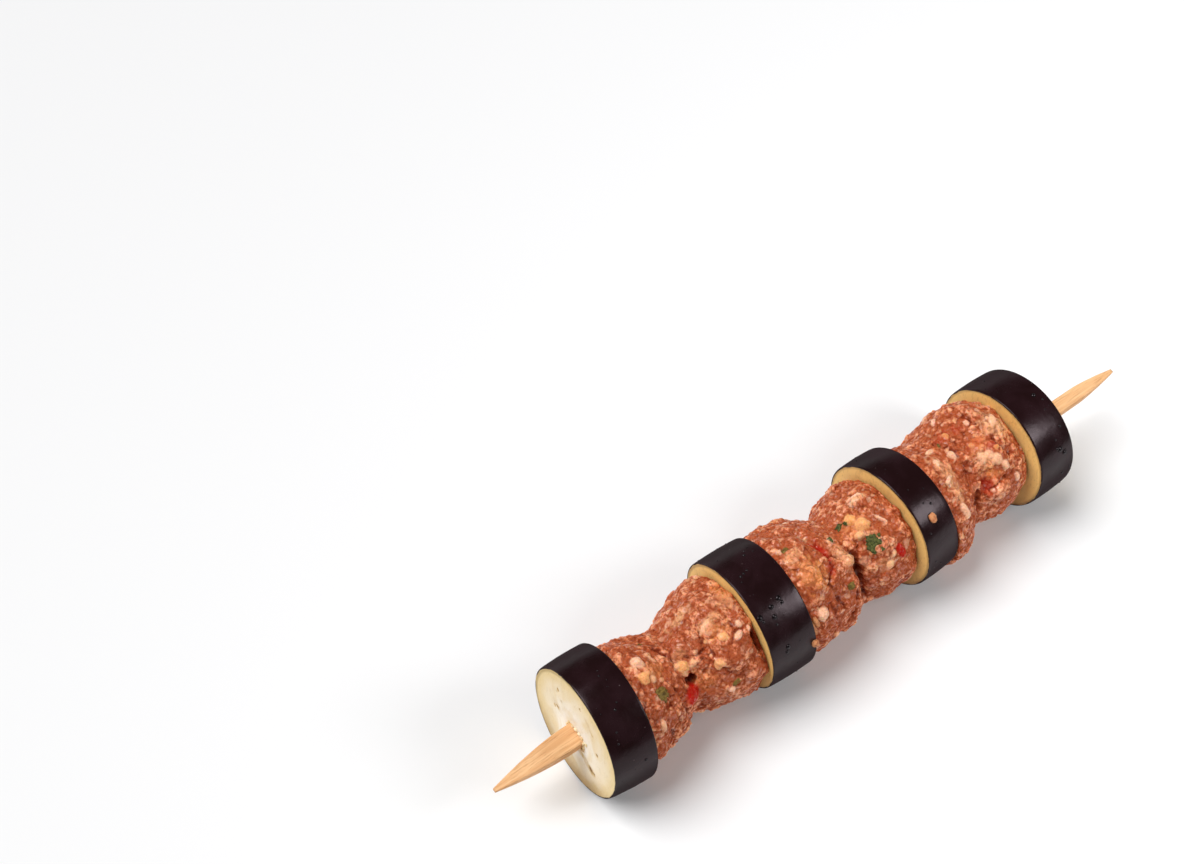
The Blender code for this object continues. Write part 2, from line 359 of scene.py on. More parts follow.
@dataclass(frozen=True)
class SkinFinish:
    """Aubergine skin: almost black, glossy, with a faint purple bloom."""

    name: str = "aubergine_skin"
    dark: Colour = screen(25, 8, 9)
    bloom: Colour = screen(36, 17, 21)
    gloss: float = 0.16
    shine: float = 0.25
    speck: Colour = screen(120, 104, 104)

    def material(self) -> bpy.types.Material:
        """Builds the material.

        Returns:
            The material.
        """
        shader = Shader(self.name)
        bloom = shader.step(shader.grain(9 * MM, 4.0, 0.4), 0.35, 0.7)
        speckled = shader.step(shader.grain(6 * MM), 0.5, 0.62)
        specks = shader.step(shader.cells(2.6 * MM), 0.10, 0.03) * speckled
        colour = shader.mix(bloom * 0.8, self.dark, self.bloom)
        colour = shader.mix(specks * 0.5, colour, self.speck)
        made = shader.node("ShaderNodeLayerWeight", {}, {"Blend": 0.5})
        aside = shader.step(Wire(shader, made.outputs["Facing"]), 0.3, 0.8)
        rough = self.gloss + bloom * 0.08 + shader.grain(1.6 * MM, 3.0) * 0.08 + aside * 0.7
        height = shader.grain(5 * MM, 2.0) * 2.0 + shader.grain(1.8 * MM, 3.0) * 0.7
        height = height + shader.grain(0.5 * MM, 2.0) * 0.2
        return shader.dress(
            Base_Color=colour,
            Roughness=rough,
            Normal=shader.bump(height, 0.06 * MM, 0.7),
            Specular_IOR_Level=self.shine,
            Specular_Tint=(1.0, 0.84, 0.9, 1.0),
        )


@dataclass(frozen=True)
class FleshTones:
    """The colours of a cut face: core, body, rim, edge at the skin, and painted shade for the side near the
    floor.
    """

    core: Colour
    body: Colour
    rim: Colour
    edge: Colour
    # Painted shade: the colour laid on the lower outer part of a face, near the floor.
    low: Colour


FRESH = FleshTones(
    core=screen(246, 236, 220),
    body=screen(238, 220, 188),
    rim=screen(229, 203, 148),
    edge=screen(168, 138, 80),
    low=screen(160, 122, 68),
)
# Faces that touch the mince: darker and yellower tones than the open faces.
MINCE_SIDE_TONES = FleshTones(
    core=screen(220, 182, 118),
    body=screen(226, 184, 114),
    rim=screen(243, 201, 120),
    edge=screen(150, 106, 52),
    low=screen(148, 108, 62),
)


@dataclass(frozen=True)
class FleshFinish:
    """Cut aubergine flesh: spongy, pale in its core, yellower at the skin, darker and yellower where mince
    touches it, with painted shade low down.
    """

    name: str
    centre: Vector
    radius: float
    halo: Colour = screen(206, 172, 112)
    stain: Colour = screen(122, 80, 36)

    def material(self) -> bpy.types.Material:
        """Builds the material.

        Returns:
            The material.
        """
        shader = Shader(self.name)
        tan = shader.stored("tan")
        tones = [shader.mix(tan, *pair) for pair in zip(astuple(FRESH), astuple(MINCE_SIDE_TONES))]
        core, body, rim, edge, low = tones
        middle = shader.moved(scale=(0.0, 1.0, 1.0), location=(0.0, -self.centre.y, -self.centre.z))
        made = shader.node("ShaderNodeVectorMath", {"operation": "LENGTH"}, {0: middle})
        reach = Wire(shader, made.outputs["Value"]) * (1 / self.radius)
        wander = reach + (shader.grain(5 * MM, 3.0, 0.5) - 0.5) * 0.22
        lobes = shader.step(shader.grain(8 * MM, 2.0, 1.2, shader.moved(scale=(1.0, 1.0, 0.55))), 0.40, 0.62)
        colour = shader.mix(shader.step(wander, 0.30, 0.72), core, body)
        colour = shader.mix(lobes * 0.55, colour, rim)
        colour = shader.mix(shader.step(wander, 0.70, 0.98), colour, rim)
        colour = shader.mix(shader.step(reach, 0.955, 1.0) * 0.7, colour, edge)
        upright = shader.moved(scale=(1.0, 1.0, 0.35))
        fibres = shader.step(shader.grain(0.9 * MM, 4.0, 1.5, upright), 0.52, 0.72)
        colour = shader.mix(fibres * (0.16 + tan * 0.14), colour, edge)
        # Painted shade: the outer part of the face darkens towards the floor, where less light reaches.
        made = shader.node("ShaderNodeSeparateXYZ", {}, {"Vector": shader.place})
        lowness = shader.step(Wire(shader, made.outputs["Z"]), 18 * MM, 1 * MM)
        low_shade = lowness * shader.step(reach, 0.5, 0.95)
        colour = shader.mix(low_shade * 0.75, colour, low)
        stain = shader.stored("stain") * (0.4 + shader.grain(1.2 * MM, 3.0, 1.2) * 1.2)
        colour = shader.mix(shader.step(stain, 0.02, 0.45), colour, self.halo)
        colour = shader.mix(shader.step(stain, 0.35, 1.0), colour, self.stain)
        height = shader.grain(0.5 * MM, 4.0, 0.5) + fibres * 0.3
        return shader.dress(
            Base_Color=colour,
            Roughness=0.62,
            Normal=shader.bump(height, 0.12 * MM, 0.8),
            Subsurface_Weight=0.15,
            Subsurface_Radius=(1.0, 0.75, 0.45),
            Subsurface_Scale=1.5 * MM,
        )


@dataclass(frozen=True)
class WoodFinish:
    """Pale dry wood with fine grain along the stick."""

    pale: Colour = screen(236, 188, 136)
    warm: Colour = screen(222, 166, 112)
    line: Colour = screen(182, 120, 70)

    def material(self) -> bpy.types.Material:
        """Builds the material.

        Returns:
            The material.
        """
        shader = Shader("pale_wood")
        along = shader.moved(scale=(0.035, 1.0, 1.0))
        broad = shader.step(shader.grain(1.6 * MM, 3.0, 0.4, along), 0.35, 0.65)
        lines = shader.step(shader.grain(0.32 * MM, 3.0, 0.2, along), 0.50, 0.72)
        short = shader.moved(scale=(0.12, 1.0, 1.0))
        flecks = shader.step(shader.grain(0.5 * MM, 2.0, 0.0, short), 0.66, 0.76)
        colour = shader.mix(broad, self.pale, self.warm)
        colour = shader.mix(lines * 0.55, colour, self.line)
        colour = shader.mix(flecks * 0.5, colour, self.line)
        height = lines * -0.6 + shader.grain(0.2 * MM, 3.0, 0.0, along) * 0.4
        return shader.dress(
            Base_Color=colour,
            Roughness=0.58 + lines * 0.15,
            Normal=shader.bump(height, 0.08 * MM, 0.8),
            Subsurface_Weight=0.05,
            Subsurface_Radius=(1.0, 0.6, 0.3),
            Subsurface_Scale=1.0 * MM,
        )


def linked(name: str, data: bpy.types.ID) -> bpy.types.Object:
    """Makes an object in the scene.

    Args:
        name: Its name.
        data: Its mesh, light or camera.

    Returns:
        The object.
    """
    made = bpy.data.objects.new(name, data)
    bpy.context.scene.collection.objects.link(made)
    return made


def piece(mesh: bmesh.types.BMesh, name: str, finish: bpy.types.Material) -> bpy.types.Object:
    """Makes a bmesh a smooth piece that rides on the kebab.

    Args:
        mesh: The shape, which is freed.
        name: The piece's name.
        finish: Its material.

    Returns:
        The object.
    """
    data = bpy.data.meshes.new(name)
    mesh.to_mesh(data)
    mesh.free()
    data.shade_smooth()
    data.materials.append(finish)
    made = linked(name, data)
    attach(made, "root")
    log.info("%s: %d faces", name, len(data.polygons))
    return made


def turned(profile: list[tuple[float, float]], sides: int, closed: bool = False) -> bmesh.types.BMesh:
    """Spins a profile of (x, distance from the stick) points round X.

    Args:
        profile: The points, in metres, from the front to the back.
        sides: How many steps the turn has.
        closed: Whether the last point joins the first, as round a band.

    Returns:
        The turned skin, with its seam closed.
    """
    mesh = bmesh.new()
    points = [mesh.verts.new((x, 0.0, distance)) for x, distance in profile]
    pairs = list(zip(points, points[1:])) + ([(points[-1], points[0])] if closed else [])
    edges = [mesh.edges.new(pair) for pair in pairs]
    bmesh.ops.spin(
        mesh, geom=points + edges, cent=(0, 0, 0), axis=(1, 0, 0), angle=math.tau, steps=sides, use_merge=True
    )
    bmesh.ops.remove_doubles(mesh, verts=mesh.verts, dist=MERGE_DISTANCE)
    bmesh.ops.recalc_face_normals(mesh, faces=mesh.faces)
    return mesh


def shaped(mesh: bmesh.types.BMesh, place: Callable[[float, float, float], Vector]) -> None:
    """Gives a turned skin its true form, with its faces outwards.

    Args:
        mesh: The turned skin.
        place: Where a point goes, by its x, its angle and its distance from the stick.
    """
    for vert in mesh.verts:
        distance = math.hypot(vert.co.y, vert.co.z)
        angle = math.atan2(-vert.co.y, vert.co.z) if distance > ON_AXIS else 0.0
        vert.co = AXIS + place(vert.co.x, angle, distance)
    bmesh.ops.recalc_face_normals(mesh, faces=mesh.faces)


@dataclass
class WoodenSkewer:
    """The flat hand-cut stick, pointed at both ends, with grain furrows along it."""

    length: float = 250 * MM
    broad: tuple[float, float] = (7.5 * MM, 4.7 * MM)
    narrow: tuple[float, float] = (4.8 * MM, 3.7 * MM)
    broad_point: float = 24 * MM
    narrow_point: float = 17 * MM
    point_curve: float = 1.5
    nib: float = 1.2 * MM
    skew: float = 0.4 * MM
    skew_start: float = 0.3
    roll: float = math.radians(10)
    squareness: float = 9.0
    sides: int = 72
    stations: int = 220
    furrow: float = 0.05 * MM

    def half_sizes(self, x: float) -> list[float]:
        """The stick's half sizes.

        Args:
            x: A place along the stick, in metres.

        Returns:
            Half the width and half the thickness there.
        """
        share = x / self.length + 0.5
        ends = ((x + self.length / 2) / self.broad_point, (self.length / 2 - x) / self.narrow_point, 1.0)
        fullness = 1 - (1 - max(min(ends), 0.0)) ** self.point_curve
        sizes = []
        for broad, narrow in zip(self.broad, self.narrow):
            body = broad + (narrow - broad) * share
            sizes.append((self.nib + (body - self.nib) * fullness) / 2)
        return sizes

    def place(self, x: float, angle: float, distance: float) -> Vector:
        """Where a point of the turned skin goes.

        Args:
            x: How far along it is.
            angle: Its angle round the stick.
            distance: Its share of the way out.

        Returns:
            Its place, from the stick's axis.
        """
        width, thickness = self.half_sizes(x)
        across, up = -math.sin(angle), math.cos(angle)
        reach = (abs(across) ** self.squareness + abs(up) ** self.squareness) ** (-1 / self.squareness)
        spot = Vector((x / (9 * MM), across * 7, up * 7))
        grain = self.furrow * (noise.noise(spot) + 0.6 * noise.noise(spot * 2.3))
        y = across * reach * (width + grain) * distance
        z = up * reach * (thickness + grain) * distance
        turn = Matrix.Rotation(self.roll, 3, "X")
        return turn @ Vector((x, y, z)) + Vector((0.0, self.skew * (x / self.length + self.skew_start), 0.0))

    def build(self) -> bpy.types.Object:
        """Builds the stick.

        Returns:
            The object.
        """
        half = self.length / 2
        steps = range(self.stations + 1)
        places = [-half + self.length * eased(i / self.stations, -0.25, 1.25) for i in steps]
        low, high = places[0], places[-1]
        places = [-half + (x - low) / (high - low) * self.length for x in places]
        profile = [(-half, 0.0)] + [(x, 1.0) for x in places] + [(half, 0.0)]
        mesh = turned(profile, self.sides)
        shaped(mesh, self.place)
        made = piece(mesh, "skewer_stick", WoodFinish().material())
        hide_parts("wooden_skewer")
        return made


@dataclass(frozen=True)
class Seed:
    """A browned seed or smear on a cut face, in mm and degrees.

    It has its distance from the middle, angle, length, width, spin, and the strength of its stain.
    """

    reach: float
    angle: float
    length: float
    width: float
    spin: float = 0.0
    stain: float = 0.5


# Each row: distance from the middle, angle, length, width, spin, stain. First the first slice's front face.
FRONT_SEEDS = [
    Seed(*row)
    for row in (
        (13.9, -43, 0.8, 0.5, 60, 0.7), (13.2, -49, 0.5, 0.4, 20, 0.4), (9.0, -78, 0.9, 0.5, 20, 0.6),
        (10.3, -85, 0.8, 0.4, 70, 0.5), (10.0, -48, 0.6, 0.4, 40, 0.5), (14.7, 5, 0.6, 0.3, 60, 0.9),
        (12.6, 36, 1.3, 0.4, 34, 0.5), (11.6, 72, 0.7, 0.5, 60, 0.8), (11.7, 128, 0.9, 0.6, 34, 1.1),
        (13.0, 124, 0.6, 0.4, 20, 0.6), (16.2, -24, 0.5, 0.3, 60, 0.3), (15.4, 62, 0.5, 0.3, 100, 0.3),
    )
]
FRONT_SMEARS = [
    Seed(*row)
    for row in (
        (5.8, 146, 2.6, 1.5, 34, 0.26), (9.6, 131, 3.4, 1.7, 34, 0.24), (12.3, 126, 2.4, 1.6, 34, 0.22),
        (9.6, -74, 3.4, 1.6, 34, 0.16), (13.8, 24, 3.0, 0.9, 40, 0.2), (13.6, 176, 3.2, 1.4, 30, 0.14),
    )
]
# The fourth slice's back face, with rows of the same kind.
BACK_SEEDS = [
    Seed(*row)
    for row in (
        (12.8, -52, 0.9, 0.5, 40, 0.6), (11.2, -18, 0.7, 0.4, 70, 0.5), (13.6, 22, 0.8, 0.5, 110, 0.8),
        (10.4, 58, 0.6, 0.4, 30, 0.5), (12.4, 96, 0.9, 0.5, 10, 0.7), (13.2, 140, 0.7, 0.4, 60, 0.6),
        (10.8, 188, 0.8, 0.5, 90, 0.5), (12.2, 232, 0.6, 0.4, 130, 0.7), (9.4, 262, 0.8, 0.4, 50, 0.5),
    )
]
BACK_SMEARS = [
    Seed(*row)
    for row in (
        (11.0, 74, 3.2, 1.5, 70, 0.16), (11.6, 210, 3.4, 1.6, 120, 0.18), (12.6, -36, 2.8, 1.3, 40, 0.14),
    )
]


@dataclass
class AubergineSlice:
    """A thick round of aubergine: a skin band over a disc of flesh, with its sizes in millimetres."""

    number: int
    front: float
    back: float
    front_radius: float
    back_radius: float
    y: float
    z: float
    drift: float
    lean_y: float
    lean_z: float
    seeds: list[Seed] = field(default_factory=list)
    smears: list[Seed] = field(default_factory=list)
    open_front: bool = False
    open_back: bool = False
    bevel: float = 0.45
    skin: float = 0.4
    crown: float = 0.25
    unevenness: float = 0.012
    overlap: float = 0.12
    sides: int = 176
    rings: int = 44
    rim_steps: int = 6
    wall_steps: int = 14

    def leaning(self, x: float, y: float, z: float) -> float:
        """Where a leaning face that crosses the slice's middle at x lies at y and z, in metres."""
        return x - self.lean_y * (y - self.y * MM) - self.lean_z * (z - self.z * MM)

    def place(self, x: float, angle: float, distance: float) -> Vector:
        """Where a point of the turned skin or flesh goes.

        Args:
            x: How far along it is.
            angle: Its angle round the stick.
            distance: How far out it is.

        Returns:
            Its place, from the stick's axis.
        """
        share = (x / MM - self.front) / (self.back - self.front)
        spot = Vector((math.cos(angle), math.sin(angle), self.number * 3.7))
        radius = distance * (1 + self.unevenness * noise.noise(spot * 1.3))
        y = (self.y + self.drift * (share - 0.5)) * MM - math.sin(angle) * radius
        z = self.z * MM + math.cos(angle) * radius
        z = max(z, -AXIS.z)
        return Vector((self.leaning(x, y, z), y, z))

    def radius_at(self, share: float) -> float:
        """The wall's radius at a share of the thickness, in millimetres."""
        crown = self.crown * math.sin(math.pi * share)
        return self.front_radius + (self.back_radius - self.front_radius) * share + crown

    def skin_band(self) -> bmesh.types.BMesh:
        """The skin: a thin band whose rims turn in over a rounded edge.

        Returns:
            The band.
        """
        thickness = self.back - self.front
        outer = []
        for step in range(self.rim_steps + 1):
            turn = math.radians(90) * step / self.rim_steps
            inset = self.bevel * (1 - math.cos(turn))
            drop = self.bevel * (1 - math.sin(turn))
            outer.append((inset, drop))
        rim_front = [(self.front + inset, self.radius_at(0) - drop) for inset, drop in outer]
        shares = [i / self.wall_steps for i in range(1, self.wall_steps)]
        wall = [(self.front + thickness * share, self.radius_at(share)) for share in shares]
        rim_back = [(self.back - inset, self.radius_at(1) - drop) for inset, drop in reversed(outer)]
        inner = [
            (self.back - self.bevel, self.radius_at(1) - self.bevel - self.skin),
            (self.front + self.bevel, self.radius_at(0) - self.bevel - self.skin),
        ]
        profile = [(x * MM, distance * MM) for x, distance in rim_front + wall + rim_back + inner]
        return turned(profile, self.sides, closed=True)

    def marks(self, y: float, z: float) -> tuple[float, float]:
        """What the seeds and smears do at a place on an open face.

        Args:
            y: The place across the stick, in millimetres.
            z: The place up from it, in millimetres.

        Returns:
            How stained the place is, up to 1, and how deep its dent is, in millimetres.
        """
        stain, dent = 0.0, 0.0
        for seed in self.seeds + self.smears:
            way = outward(math.radians(seed.angle)) * seed.reach
            apart = Vector((y - way.y - self.y, z - way.z - self.z))
            spin = math.radians(seed.spin)
            along = apart.x * math.cos(spin) + apart.y * math.sin(spin)
            across = apart.y * math.cos(spin) - apart.x * math.sin(spin)
            spread = eased(1.35 - math.hypot(along / seed.length, across / seed.width), 0.0, 0.8)
            stain += seed.stain * spread
            dent += 0.25 * spread if seed in self.seeds else 0.0
        return min(stain, 1.0), dent

    def flesh_disc(self) -> bmesh.types.BMesh:
        """The flesh: a disc with dense faces, seed dents and a slightly spongy surface.

        Returns:
            The disc.
        """
        reach = self.radius_at(0) - self.bevel + self.overlap
        reach_back = self.radius_at(1) - self.bevel + self.overlap
        steps = [i / self.rings for i in range(self.rings + 1)]
        front = [(self.front, reach * share) for share in steps]
        back = [(self.back, reach_back * share) for share in reversed(steps)]
        mesh = turned([(x * MM, distance * MM) for x, distance in front + back], self.sides)
        stain_layer = mesh.verts.layers.float.new("stain")
        tan_layer = mesh.verts.layers.float.new("tan")
        middle = (self.front + self.back) / 2 * MM
        for vert in mesh.verts:
            x, y, z = vert.co
            on_front = x < middle
            fresh = self.open_front if on_front else self.open_back
            stain, dent = self.marks(y / MM, z / MM) if fresh else (0.0, 0.0)
            sponge = 0.10 * noise.noise(vert.co / (2.5 * MM)) + 0.05 * noise.noise(vert.co / (0.9 * MM))
            vert[stain_layer] = stain
            vert[tan_layer] = 0.0 if fresh else 1.0
            inwards = (dent + sponge + 0.03) * MM
            vert.co.x = x + inwards if on_front else x - inwards
        return mesh

    def build(self, finish: bpy.types.Material) -> BVHTree:
        """Builds the skin and the flesh of the slice.

        Args:
            finish: The skin's material.

        Returns:
            The skin's surface, for what lies on it.
        """
        node = f"aubergine_slice_{self.number}"
        band = self.skin_band()
        shaped(band, self.place)
        surface = BVHTree.FromBMesh(band)
        skin = piece(band, f"aubergine_skin_{self.number}", finish)
        disc = self.flesh_disc()
        shaped(disc, self.place)
        centre = AXIS + Vector((0.0, self.y * MM, self.z * MM))
        radius = (self.front_radius - self.bevel) * MM
        name = f"aubergine_flesh_{self.number}"
        flesh = piece(disc, name, FleshFinish(name, centre, radius).material())
        for made in (skin, flesh):
            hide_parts(node)
        return surface


class Blush(Enum):
    """A colour that tinges the mince in places."""

    ORANGE = "orange"
    CREAM = "cream"
    PEPPER = "pepper"


@dataclass(frozen=True)
class Patch:
    """A tinged patch of the mince: its colour, place, reach along and around in millimetres, and strength."""

    blush: Blush
    x: float
    angle: float
    along: float
    around: float
    strength: float = 0.8


@dataclass(frozen=True)
class Swell:
    """A swelling of the mince, or a hollow: its place, reach along and around, and height, in millimetres."""

    x: float
    angle: float
    along: float
    around: float
    height: float


@dataclass(frozen=True)
class Crease:
    """A furrow between two places on the mince, with its half width and depth in millimetres."""

    x: float
    angle: float
    to_x: float
    to_angle: float
    width: float = 1.1
    depth: float = 0.8


@dataclass(frozen=True)
class Chunk:
    """A chunk of fat or pepper in the mince, in mm and degrees.

    It has its place, length, width, height, turn, how yellow its fat is, whether it is pepper, and how
    strongly its fat shows.
    """

    x: float
    angle: float
    length: float
    width: float
    height: float = 0.7
    turn: float = 0.0
    yolk: float = 0.0
    pepper: bool = False
    pale: float = 1.0


@dataclass(frozen=True)
class Spot:
    """A place on the mince: along the stick, round it, out from it, and how ragged an edge is there."""

    x: float
    angle: float
    radius: float
    ragged: float

    @classmethod
    def at(cls, place: Vector) -> "Spot":
        """The spot at a place.

        Args:
            place: The place, in millimetres.

        Returns:
            The spot.
        """
        y, z = place.y - AXIS.y / MM, place.z - AXIS.z / MM
        ragged = noise.noise(place / 1.5) + 0.3 * noise.noise(place / 0.7)
        return cls(place.x, math.atan2(-y, z), math.hypot(y, z), ragged)

    def away(self, x: float, angle: float) -> tuple[float, float]:
        """How far along and around this spot is from a place, in millimetres."""
        turn = (self.angle - math.radians(angle) + math.pi) % math.tau - math.pi
        return self.x - x, turn * self.radius

    def patched(self, patches: list[Patch], blush: Blush) -> float:
        """How strongly patches of one colour tinge this spot.

        Args:
            patches: The patches.
            blush: The colour.

        Returns:
            The strength, up to 1.
        """
        total = 0.0
        for patch in patches:
            along, around = self.away(patch.x, patch.angle)
            if patch.blush is blush and abs(along) < patch.along * 1.6:
                reach = math.hypot(along / patch.along, around / patch.around) * (1 + 0.8 * self.ragged)
                total += patch.strength * eased(1.3 - reach, 0.0, 0.8)
        return min(total, 1.0)

    def swollen(self, swells: list[Swell]) -> float:
        """How far swells raise this spot.

        Args:
            swells: The swells and hollows.

        Returns:
            The height, in millimetres.
        """
        total = 0.0
        for swell in swells:
            along, around = self.away(swell.x, swell.angle)
            if abs(along) < swell.along * 1.3:
                reach = math.hypot(along / swell.along, around / swell.around) * (1 + 0.2 * self.ragged)
                total += swell.height * eased(1.25 - reach, 0.0, 1.1)
        return total

    def creased(self, creases: list[Crease]) -> float:
        """How deep creases are at this spot.

        Args:
            creases: The creases.

        Returns:
            The depth of the deepest, in millimetres.
        """
        deepest = 0.0
        for crease in creases:
            along, around = self.away(crease.x, crease.angle)
            run_x = crease.to_x - crease.x
            run_y = math.radians(crease.to_angle - crease.angle) * self.radius
            share = (along * run_x + around * run_y) / (run_x * run_x + run_y * run_y)
            share = min(max(share, 0.0), 1.0)
            apart = math.hypot(along - share * run_x, around - share * run_y) * (1 + 0.3 * self.ragged)
            deepest = max(deepest, crease.depth * eased(1 - apart / crease.width, 0.0, 1.0))
        return deepest

    def chunked(self, chunks: list[Chunk]) -> tuple[float, float, Chunk | None]:
        """The chunk at this spot.

        Args:
            chunks: The chunks.

        Returns:
            How much the spot is inside a chunk, how far it is raised, and the chunk, if any.
        """
        best, raised, found = 0.0, 0.0, None
        for chunk in chunks:
            along, around = self.away(chunk.x, chunk.angle)
            if abs(along) < chunk.length + chunk.width:
                turn = math.radians(chunk.turn)
                u = (along * math.cos(turn) + around * math.sin(turn)) / chunk.length * 2
                v = (around * math.cos(turn) - along * math.sin(turn)) / chunk.width * 2
                total = abs(u) ** CHUNK_SQUARENESS + abs(v) ** CHUNK_SQUARENESS
                reach = total ** (1 / CHUNK_SQUARENESS) * (1 + 0.2 * self.ragged)
                inside = eased(1.16 - reach, 0.0, 0.34)
                dome = eased(1.1 - reach, 0.0, 0.9)
                rim = 0.16 * math.exp(-(((reach - 1.14) / 0.16) ** 2))
                if inside > best:
                    best, found = inside, chunk
                raised += chunk.height * dome - rim
        return best, raised, found


# Each row: x, angle, reach along, reach around, strength.
PATCHES = [
    Patch(blush, *row)
    for blush, rows in {
        Blush.ORANGE: [
            (-40.8, -12, 2.6, 4.5, 0.7), (-49.5, 17, 3.0, 3.0, 0.6), (-71.9, 14, 3.6, 3.0, 0.5),
            (-58.7, 56, 3.0, 3.0, 0.35), (-16.7, 20, 4.4, 5.0, 0.7), (-13.5, 30, 3.0, 4.0, 0.5),
            (7.0, 6, 4.2, 4.6, 0.55), (67.0, 9, 2.6, 3.4, 0.7), (56.0, 8, 3.4, 2.4, 0.6),
            (55.0, 38, 2.6, 3.0, 0.6),
        ],
        Blush.CREAM: [
            # The first cream patch, at -54.6 mm and -21 degrees, is a painted highlight: a pale stroke of
            # light along the top of a dome.
            (-54.6, -21, 4.6, 1.6, 0.75), (-50.8, 6, 3.4, 2.2, 0.6), (-42.2, -2, 2.4, 2.4, 0.4),
            (-62.0, 13, 2.6, 2.0, 0.45), (-3.0, 24, 2.6, 4.6, 0.5), (-17.6, 2, 3.0, 2.4, 0.45),
            (13.0, -14, 3.6, 1.2, 0.6), (9.0, 55, 3.0, 3.0, 0.35), (64.6, 1, 4.4, 4.4, 0.8),
            (40.6, 12, 2.6, 5.5, 0.5), (40.5, 38, 2.4, 4.0, 0.45), (54.8, 24, 3.2, 3.4, 0.5),
        ],
        Blush.PEPPER: [
            (-8.2, 3, 1.6, 2.6, 0.4), (-7.2, 12, 1.3, 2.2, 0.6), (-8.9, 28, 1.4, 2.6, 0.5),
            (55.4, 7, 3.0, 1.8, 0.4), (59.3, 16, 2.2, 1.4, 0.45), (49.4, -19, 2.4, 1.8, 0.3),
            (52.8, 49, 2.8, 2.8, 0.42), (54.9, -17, 2.0, 1.6, 0.35),
        ],
    }.items()
    for row in rows
]

# Each row: x, angle, reach along, reach around, height, which is negative for a hollow.
SWELLS = [
    Swell(*row)
    for row in (
        (-60.1, 4, 4.0, 4.2, 1.5), (-49.9, 9, 4.0, 3.6, 0.8), (-48.6, 43, 5.6, 5.6, 1.0),
        (-49.3, -18, 5.0, 5.6, 0.6), (-41.4, -9, 2.8, 4.6, 0.8), (-44.6, 66, 3.6, 4.0, 0.7),
        (-52.8, 75, 3.2, 3.2, 0.6), (-76.3, -21, 4.4, 5.2, 0.5), (-72.6, 8, 4.4, 4.4, 0.6),
        (-61.6, 49, 1.6, 1.8, -2.1), (-40.0, 44, 1.9, 5.2, -1.7), (-2.6, 29, 2.2, 3.6, 2.0),
        (-16.6, 22, 5.4, 6.4, 0.9), (-5.1, 56, 2.8, 3.4, 0.5), (8.3, 6, 3.6, 4.0, 0.7),
        (9.5, 36, 5.4, 6.4, 0.7), (13.0, -13, 5.0, 4.0, 0.4), (1.3, 34, 1.1, 2.6, -1.8),
        (1.0, 56, 1.3, 4.4, -1.5), (57.9, -40, 5.0, 5.0, 0.5), (64.8, 2, 3.8, 4.2, 0.9),
        (55.0, 18, 4.4, 4.4, 0.7), (58.6, 36, 3.6, 4.4, 0.6), (56.0, 62, 4.4, 4.4, 0.8),
        (40.6, 12, 3.4, 8.0, 0.6), (40.0, 50, 3.0, 6.0, 0.8), (52.4, 47, 2.4, 2.4, -1.0),
    )
]

# Each row: x, angle, x and angle of its end, half width, depth.
CREASES = [
    Crease(*row)
    for row in (
        (-66.4, -12, -64.4, 12, 1.3, 0.9), (-64.4, 12, -58.8, 26, 1.2, 1.0),
        (-52.6, -4, -55.6, 24, 1.0, 0.9), (-55.6, 24, -58.8, 26, 1.0, 0.8),
        (-57.6, 30, -50.6, 62, 1.0, 0.6), (-69.6, 30, -67.2, 64, 1.0, 0.7),
        (-72.2, 50, -70.6, 96, 0.9, 0.6), (-68.6, 60, -66.4, 96, 0.9, 0.7),
        (-75.2, 62, -74.4, 100, 0.9, 0.5), (-44.2, 2, -45.6, 30, 0.9, 0.5), (-9.6, -22, -7.4, 12, 1.2, 0.9),
        (-7.4, 12, -8.2, 27, 1.2, 1.0), (-8.2, 27, -12.8, 38, 1.3, 0.9), (-12.8, 38, -10.0, 66, 1.2, 0.7),
        (0.8, 24, 1.2, 60, 1.2, 1.0), (1.2, 60, 2.6, 104, 1.3, 1.0), (-1.8, 46, -6.8, 92, 1.1, 0.7),
        (-14.8, 54, -13.0, 90, 1.0, 0.6), (4.4, 20, 2.4, 34, 0.9, 0.6), (46.4, -20, 49.0, 0, 1.1, 0.8),
        (49.0, 0, 48.2, 26, 1.2, 0.9), (48.2, 26, 48.6, 48, 1.2, 0.5), (48.6, 48, 47.6, 84, 1.3, 0.7),
        (60.6, -24, 60.0, 6, 0.9, 0.6), (52.6, 56, 59.2, 50, 1.0, 0.7), (61.0, 12, 63.4, 34, 0.9, 0.6),
    )
]

